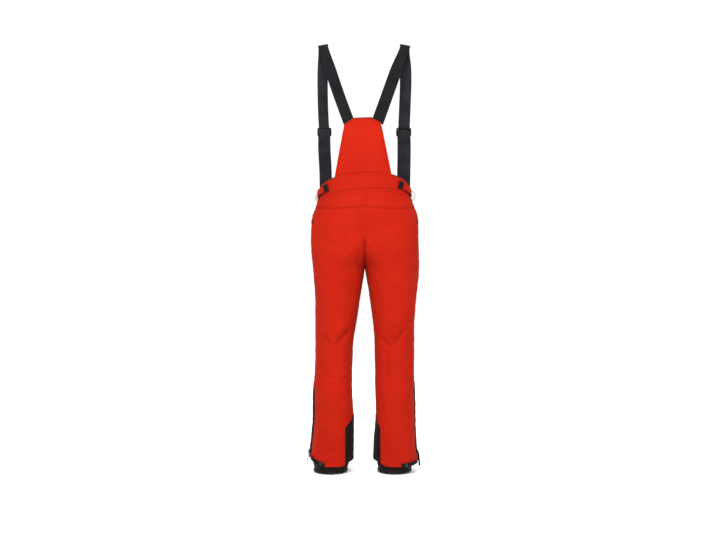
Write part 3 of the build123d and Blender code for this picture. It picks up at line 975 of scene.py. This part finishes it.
def waist_tab(side, sign):
    """The side adjuster: a red tab with a ribbed moulded grip, and its hook patch on the waistband."""
    body = f"{side}_waist_tab"
    turn = np.linspace(0.04, TAB_END[side], 40)
    points, normals = on_surface(side, waist_height(TAB_DROP)(side, turn), turn, 0.0032)
    points = points + normals * (TAB_BULGE[side] * np.exp(-((turn - 0.28) / 0.17) ** 2))[:, None]
    across = np.cross(unit(np.gradient(points, axis=0)), normals)
    width = TAB_WIDE * (1 - 0.25 * np.clip((turn - TAB_END[side] + 0.1) / 0.1, 0, 1))
    ribbon(f"{body}_cloth", points, across, width, TAB_THICK, "red", body, [body])
    rows = []
    for edge in (-1, 1):
        lines = points + across * (edge * (TAB_WIDE / 2 - 0.0035)) + normals * 0.0013
        rows.append((lines[2:-2], normals[2:-2]))
    stitches(f"{body}_stitches", rows, "thread", body)
    here, normal = points[GRIP_AT], normals[GRIP_AT]
    along = unit(points[GRIP_AT + 1] - points[GRIP_AT - 1])
    axes = (along, np.cross(normal, along), normal)
    parts = [rounded_block(here + normal * 0.0032, axes, GRIP_SIZE, .0022)]
    for k in (-1, 0, 1):
        rib = here + normal * 0.0056 + along * (k * 0.0042)
        parts.append(rounded_block(rib, axes, RIB_SIZE, .0006))
    solid(f"{side}_tab_grip", parts, "plastic", body, [f"{body}_grip"])
    turn = np.linspace(0.10, TAB_END[side] - 0.02, 30)
    points, _, across = line_on(side, waist_height(PATCH_DROP)(side, turn), turn, 0.0008)
    nodes = left_only(side, "tab_patches")
    ribbon(f"{side}_hook_patch", points, across, 0.027, 0.0014, "pile", "root", nodes)


def side_loop(side, sign):
    """A thin cord loop at the side seam."""
    (high, low), reach = LOOP_Z[side], LOOP_REACH[side]
    line = curve_through([(sign * x, y, z) for x, y, z in (
        (LOOP_FOOT, .002, high), (reach - .003, .003, high - .010), (reach, .004, (high + low) / 2),
        (reach - .0025, .003, low + .009), (LOOP_FOOT, .002, low))], 0.002)
    cord = tube_parts(line, LOOP_RADIUS)
    solid(f"{side}_hanger_loop", [cord], "cord", "root", left_only(side, "side_loops"), sharp=80)


# Ankles ------------------------------------------------------------

SCUFF_EDGE = {"left": .0737, "right": .0607}                    # x of the patch's back edge
SCUFF_TOP = {"left": (.2210, .1740), "right": (.2210, .1700)}   # its height inside and at its edges
GAITER_X = {"left": .1305, "right": .1152}
GAITER_TOP = 0.150


def scuff_guard(side, sign):
    """A coarse dark patch round the inside of the ankle, which is highest at the inside leg."""
    down, across = spread(60)[:, None], spread(46)[None]
    peak, shoulder = SCUFF_TOP[side]
    z = np.full((60, 46), 0.1)
    for _ in range(3):      # the heights depend on the turns, and the turns on the heights
        first = turn_at(side, z, SCUFF_EDGE[side])
        last = 2 * math.pi - turn_at(side, z, 0.066)
        turn = first + (last - first) * across
        from_inside = np.clip(np.abs(turn - math.pi) / (math.pi - first), 0, 1)
        top = peak - (peak - shoulder) * from_inside ** 1.35
        z = top + (hem_height(side, turn) - 0.0004 - top) * down
    points, normals = on_surface(side, z, turn, 0.0013)
    nearest = np.minimum.reduce(list(edge_distances(points).values()))
    points = points - normals * (0.0012 * np.exp(-(nearest / 0.0022) ** 2))[..., None]
    body = f"{side}_shin"
    inward = -sign * LEFTWARD
    cloth(f"{side}_scuff_cloth", points, "scuff", inward, body, [f"{side}_scuff_guard"], thick=0.0011)
    rows = [(points[cut] + normals[cut] * 0.0002, normals[cut]) for cut in (np.s_[:, 3], np.s_[:, -4], 3, -4)]
    stitches(f"{side}_scuff_stitches", rows, "black_thread", body)


def gaiter(side, sign):
    """The inner sleeve that grips the boot: gathered on an elastic at its lower edge."""
    height = np.linspace(GAITER_TOP, 0.0012, 70)[:, None]
    angle = np.linspace(0, 2 * math.pi, 180)[None, :]
    share = np.clip(height / GAITER_TOP, 0, 1)
    middle = sign * (GAITER_X[side] + (0.1215 - GAITER_X[side]) * share)
    wide = 0.0672 - 0.0012 * share ** 1.5
    deep = 0.0745 - 0.0025 * share
    gathers = np.sin(angle * 46 + 3 * np.sin(angle * 5)) * 0.5 + np.sin(angle * 29 + 1.3) * 0.5
    pull = np.exp(-((height - 0.016) / 0.010) ** 2)
    ripple = gathers * (0.0006 + 0.0016 * np.exp(-((height - 0.030) / 0.016) ** 2) - 0.0006 * pull)
    grow = ripple - 0.0030 * pull - 0.002 * np.exp(-(height / 0.004) ** 2)
    x = middle + sign * (wide + grow) * np.cos(angle)
    y = 0.002 + (deep + grow) * np.sin(angle)
    sag = 0.0012 * np.clip(1 - height / 0.02, 0, 1) * np.sin(angle * 7)
    points = np.stack(np.broadcast_arrays(x, y, height + np.abs(sag)), -1)
    points[:, -1] = points[:, 0]
    centre = np.array([GAITER_X[side] * sign, 0.002, 0.07])
    cloth(f"{side}_gaiter_cloth", points, "gaiter", points - centre, f"{side}_shin", [f"{side}_gaiter"],
          thick=0.0012)


# The hem tabs' two ends as turns, and the heights there
HEM_TAB = {"left": (.46, 1.27, .0600, .0320), "right": (.30, 1.40, .0415, .0325)}
HEM_TAB_WIDE, HEM_TAB_THICK = .0150, .0020
HEM_SNAP_AT = 38            # which of the tab's 50 points its press stud sits at


def hem_tab(side, sign):
    """The hem's black tightening strap at the back of the outer side, and its press stud."""
    first, last, start, end = HEM_TAB[side]
    turn = np.linspace(first, last, 50)
    height = start + (end - start) * np.linspace(0, 1, 50) ** 0.85
    points, normals, across = line_on(side, height, turn, 0.0030)
    peel = lambda piece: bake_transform(piece)
    name = f"{side}_hem_tab"
    peel(ribbon(f"{name}_webbing", points, across, HEM_TAB_WIDE, HEM_TAB_THICK, "webbing", None, [name]))
    here, normal = points[HEM_SNAP_AT], normals[HEM_SNAP_AT]
    snaps(f"{side}_hem_snap", [here + normal * 0.0009], normal, SNAP_PROFILE, f"{side}_hem_tab",
          f"{side}_hem_snap_cap")
    snaps(f"{side}_hem_stud", [here - normal * 0.0030], normal, STUD_PROFILE, f"{side}_shin",
          f"{side}_hem_snap_stud")
    row = points[4] + np.linspace(-0.006, 0.006, 4)[:, None] * across[4] + normals[4] * 0.001
    peel(stitches(f"{side}_hem_tab_stitches", [(row, same(normals[4], row))], "black_thread"))


def lace_hook(side, sign):
    """The flat wire hook at the front of the gaiter."""
    low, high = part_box(f"{side}_lace_hook")
    x, y = sign * GAITER_X[side], high.y - 0.0015
    half = [(.006, y, high.z), (.006, y - .001, low.z + .002), (.003, y - .005, low.z)]
    wire = [(x - dx, y, z) for dx, y, z in half] + [(x + dx, y, z) for dx, y, z in half[::-1]]
    hook = tube_parts(curve_through(wire, 0.0012), 0.0009)
    solid(f"{side}_wire_hook", [hook], "metal", f"{side}_shin", [f"{side}_lace_hook"])


# Zips ------------------------------------------------------------

COIL_WIDE, COIL_STEP = 0.0042, 0.0013
PULL_LONG, PULL_THICK = 0.030, 0.0024
LEG_PULL_LONG = 0.051
LEG_PULL_TWIST = {"left": 0.0, "right": 1.0}
LIP_THICK = 0.0022
POCKET_Z, POCKET_TURN = (1.006, 0.950), (-0.25, 0.27)        # from the zip's upper end to its lower


def zip_coil(name, body, line, normals, across):
    """The two interlocked rows of a nylon coil zip: short bars that lean to and fro across the line."""
    even = resample(line, COIL_STEP)
    far, here = np.linspace(0, 1, len(line)), np.linspace(0, 1, len(even))
    up, side = (unit(read_at(here, far, values)) for values in (normals, across))
    parts = []
    for k, (p, u, s, a) in enumerate(zip(even, up, side, unit(np.gradient(even, axis=0)))):
        lean = unit(s + a * (0.25 if k % 2 else -0.25))
        axes = (lean, np.cross(u, lean), u)
        parts.append(rounded_block(p + u * 0.0008, axes, (COIL_WIDE, COIL_STEP * 0.62, 0.0014), 0.0005))
    solid(f"{name}_coil", parts, "coil", body)


def flat_zip(name, line, tape_wide, nodes, lips, lip_at, lip_lift, lip_wide):
    """A zip on the trunk: its tape, its closed coil and the fabric's two lips beside it. line is its points,
    outward normals and directions across it."""
    points, normals, across = line
    ribbon(f"{name}_tape", points - normals * 0.0006, across, tape_wide, 0.0010, "tape", "root", nodes)
    zip_coil(name, "root", points, normals, across)
    for edge, lip in zip((-1, 1), lips):
        beside = points + across * (edge * lip_at) + normals * lip_lift
        ribbon(f"{name}_lip_{lip}", beside, across, lip_wide, LIP_THICK, "red", "root")


def slider_parts(middle, axes):
    """A zip slider: a waisted body with its bridge. axes are along the pull, across and outwards."""
    along, across, out = axes
    parts = [rounded_block(middle + out * 0.0020, axes, (.0115, .0082, .0016), .0007)]
    for end in (-1, 1):
        cheek = middle + across * (end * 0.0042) + out * 0.0014
        parts.append(rounded_block(cheek, axes, (.0090, .0014, .0030), .0006))
    bridge = ((-.0045, .0030), (-.0030, .0050), (0, .0056), (.0030, .0050), (.0045, .0030))
    line = curve_through([middle + along * far + out * high for far, high in bridge], 0.0008)
    return parts + [tube_parts(line, 0.0008)]


def pull_parts(middle, axes, long, twist):
    """A pull: a small ring through the bridge, and a ribbed grip turned by twist about its length."""
    along, across, out = axes
    ring = [middle + across * (.0034 * math.cos(a)) + along * (.0034 * math.sin(a) + .0030)
            for a in np.linspace(0, 2 * math.pi, 25)]
    c, s = math.cos(twist), math.sin(twist)
    across, out = across * c + out * s, out * c - across * s
    axes = (along, across, out)
    parts = [tube_parts(np.array(ring), 0.0007)]
    parts.append(rounded_block(middle + along * (.0062 + long / 2), axes, (long, .0074, PULL_THICK), .0010))
    for k in range(5):
        rib = middle + along * (.0130 + k * .0040) + out * PULL_THICK / 2
        parts.append(rounded_block(rib, axes, (.0014, .0060, .0010), .0004))
    return parts


def hang_slider(name, middle, axes, slider_node, pull_node, long=PULL_LONG, twist=0.0):
    """A slider and its pull, each on its own body."""
    body = slider_parts(middle, axes)
    solid(f"{name}_slider_body", body, "slider", f"{name}_slider", [slider_node], sharp=50)
    pull = pull_parts(middle + axes[2] * 0.0036, axes, long, twist)
    solid(f"{name}_pull_tab", pull, "slider", f"{name}_pull", [pull_node], sharp=50)


def nearest_row(z, node):
    """Which height of a line lies nearest to the middle of a CAD node."""
    low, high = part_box(node)
    return int(np.argmin(np.abs(z - (low.z + high.z) / 2)))


def leg_zip(side, sign):
    """The zip up the outside of the shin, on a tape that stands off the fabric. Its slider is at the hem."""
    z = np.linspace(LEG_ZIP_TOP + 0.002, HEM_OUTER[side] - 0.004, 120)
    share = np.linspace(-1, 1, 11)
    tape = on_surface(side, *np.broadcast_arrays(z[:, None], share * 0.115))[0]
    tape[..., 0] += sign * (zip_ridge(side, z)[:, None] * (1 - np.abs(share) ** 1.3) + 0.0004)
    body, node = f"{side}_shin", f"{side}_leg_zip"
    cloth(f"{node}_tape", tape, "tape", sign * LEFTWARD, body, [node], thick=0.0010)
    points = tape[:, 5]
    zip_coil(node, body, points, same(sign * LEFTWARD, points), same(BACKWARD, points))
    k = nearest_row(z, f"{node}_slider")
    axes = (unit(points[k + 1] - points[k - 1]), BACKWARD, sign * LEFTWARD)
    hang_slider(f"{side}_leg", points[k], axes, f"{node}_slider", f"{node}_pull", LEG_PULL_LONG,
                LEG_PULL_TWIST[side])


def pocket_zip(side, sign):
    """The slanting hand pocket zip across the side seam."""
    name = f"{side}_pocket"
    line = line_on(side, np.linspace(*POCKET_Z, 50), np.linspace(*POCKET_TURN, 50), 0.0010)
    points, normals, _ = line
    flat_zip(name, line, 0.0085, left_only(side, "pocket_zips"), ("front", "back"), 0.0068, 0.0006, 0.0075)
    along = unit(points[34] - points[5])
    out = unit(normals[18] - along * normals[18].dot(along))
    hang_slider(name, points[5], (along, np.cross(out, along), out), f"{name}_slider", f"{name}_pull")


def fly():
    """The front zip under its flap."""
    low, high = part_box("fly_zip")
    z = np.linspace(high.z, low.z, 60)
    points = on_surface("left", z, np.full(60, -math.pi / 2), 0.0008)[0]
    points[:, 0] = 0
    line = (points, same(-BACKWARD, points), same(LEFTWARD, points))
    flat_zip("fly", line, 0.009, ["fly_zip"], ("right", "left"), 0.0085, 0.0004, 0.011)
    axes = (-UP, LEFTWARD, -BACKWARD)
    hang_slider("fly", points[nearest_row(z, "fly_slider")], axes, "fly_slider", "fly_pull")


def closure():
    """The waist's closing tab with two press studs."""
    low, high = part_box("closure_tab")
    middle_z = (low.z + high.z) / 2
    share = np.linspace(0, 1, 30)
    y = (low.y + high.y) / 2 + 0.0012 * np.sin(math.pi * share)
    line = np.stack([high.x + (low.x - high.x) * share, y, np.full(30, middle_z)], -1)
    width = 0.028 * np.clip(0.55 + (1 - share) * 6, 0, 1)
    ribbon("closure_tab_cloth", line, UP, width, 0.0026, "red", "closure_tab", ["closure_tab"])
    caps, studs = ([(x, low.y + back, middle_z) for x in (-0.022, -0.004)] for back in (0.0002, 0.0030))
    snaps("closure_snaps", caps, -BACKWARD, SNAP_PROFILE, "closure_tab", "closure_snap_caps")
    snaps("closure_studs", studs, BACKWARD, STUD_PROFILE, "root", "press_studs")


# Seams ------------------------------------------------------------

SEAM_ROWS = (0.0040, 0.0085)        # how far the two rows of stitches lie from a seam
THREAD_LIFT = 0.0002                # how far stitches stand off the fabric


def seam_line(side, z, turn):
    """Points and normals for stitches that lie on the fabric."""
    return on_surface(side, z, turn, THREAD_LIFT)


def trunk_topstitching():
    rows = []
    turn = np.linspace(0.03, math.pi / 2 - 0.01, 160)
    for side in SIDES:
        for drop, way in product((BAND + 0.0060, BAND - 0.0060, 0.0060), (1, -1)):
            rows.append(seam_line(side, waist_height(drop)(side, way * turn), way * turn))
        for shift in (0.0060, 0.0105):
            rows.append(seam_line(side, yoke_line(side, turn) + shift, turn))
        for gap in SEAM_ROWS:
            rows.append(seam_line(side, np.linspace(YOKE_SEAM + 0.004, 1.072, 60), math.pi / 2 - gap / 0.17))
    across = np.linspace(-0.93, 0.93, 140)
    bib_rows = [(across, np.full(140, up)) for up in (0.035, 0.965)]
    bib_rows += [(np.full(160, edge), np.linspace(0.02, 0.965, 160)) for edge in (-0.925, 0.925)]
    for across, up in bib_rows:
        points = bib_point(across, up, THREAD_LIFT)
        rows.append((points, same(BACKWARD, points)))
    stitches("trunk_topstitching", rows, "thread", "root")


def leg_topstitching(side, sign):
    """Rows of thread beside the leg's seams, one piece for the upper panels and one for the lower."""
    z = np.linspace(YOKE_SEAM - 0.004, CROTCH + 0.02, 120)
    upper = [seam_line(side, z, turn_end(side, z) - gap / 0.12) for gap in SEAM_ROWS]
    upper.append(seam_line(side, np.linspace(YOKE_SEAM - 0.006, LEG_SPLIT, 200), 0.006 / 0.10))
    lower = [seam_line(side, np.linspace(LEG_SPLIT, LEG_ZIP_TOP + 0.012, 120), 0.006 / SIDE_RADIUS)]
    z = np.linspace(LEG_ZIP_TOP + 0.006, HEM_OUTER[side] + 0.010, 140)
    lower += [seam_line(side, z, edge * 0.0125 / SIDE_RADIUS) for edge in (-1, 1)]
    turn = np.linspace(0.10, 2 * math.pi - 0.10, 260)
    lower.append(seam_line(side, hem_height(side, turn) + 0.020, turn))
    hip_bend(stitches(f"{side}_upper_topstitching", upper, "thread"), side)
    knee_bend(stitches(f"{side}_lower_topstitching", lower, "thread"), side)


# Studio ------------------------------------------------------------

LAMPS = [  # name, place, energy, size
    ("key", (0.35, 2.5, 3.2), 200, 2.0),
    ("fill", (-2.0, 3.4, 2.0), 26, 2.0),
    ("front", (0, -3.6, 3.0), 60, 3.0),
]
LAMP_TARGET = Vector((0, 0, 1.0))
WORLD_LIGHT = 1.06
CAMERA_AT, CAMERA_LENS = (0.0062, 4.0, 0.762), 51.5
FLOOR_HALF, FLOOR_Z = 30, -0.004


def studio():
    """A pale floor, a soft even light all round, and large lamps high behind the camera."""
    scene = bpy.context.scene
    world = bpy.data.worlds.new("studio")
    world.use_nodes = True
    fill(world.node_tree.nodes["Background"], Color=(1, 1, 1, 1), Strength=WORLD_LIGHT)
    scene.world = world
    scene.view_settings.view_transform = "Standard"
    corners = [(x * FLOOR_HALF, y * FLOOR_HALF, FLOOR_Z) for x, y in ((-1, -1), (1, -1), (1, 1), (-1, 1))]
    mesh_object("floor", corners, [(0, 1, 2, 3)], pale_floor(), 50)
    for name, spot, energy, size in LAMPS:
        lamp = bpy.data.lights.new(name, "AREA")
        lamp.energy, lamp.size = energy, size
        lamp_object = link(bpy.data.objects.new(name, lamp))
        lamp_object.location = spot
        lamp_object.rotation_euler = (LAMP_TARGET - Vector(spot)).to_track_quat("-Z", "Y").to_euler()


def camera():
    """Straight behind the wearer, at thigh height."""
    lens = bpy.data.cameras.new("camera")
    lens.lens = CAMERA_LENS
    eye = link(bpy.data.objects.new("camera", lens))
    eye.location = CAMERA_AT
    eye.rotation_euler = (math.pi / 2, 0, math.pi)
    bpy.context.scene.camera = eye


def each_side(*makers):
    """Calls makers for both sides, with the side's name and the sign of its x."""
    for side, sign in SIDES.items():
        for make in makers:
            make(side, sign)


garment()
bib()
each_side(back_strap, strap_fold, front_strap, strap_slider)
each_side(waist_tab, side_loop)
each_side(scuff_guard, gaiter, hem_tab, lace_hook)
each_side(leg_zip)
each_side(pocket_zip)
fly()
closure()
trunk_topstitching()
each_side(leg_topstitching)
studio()
camera()
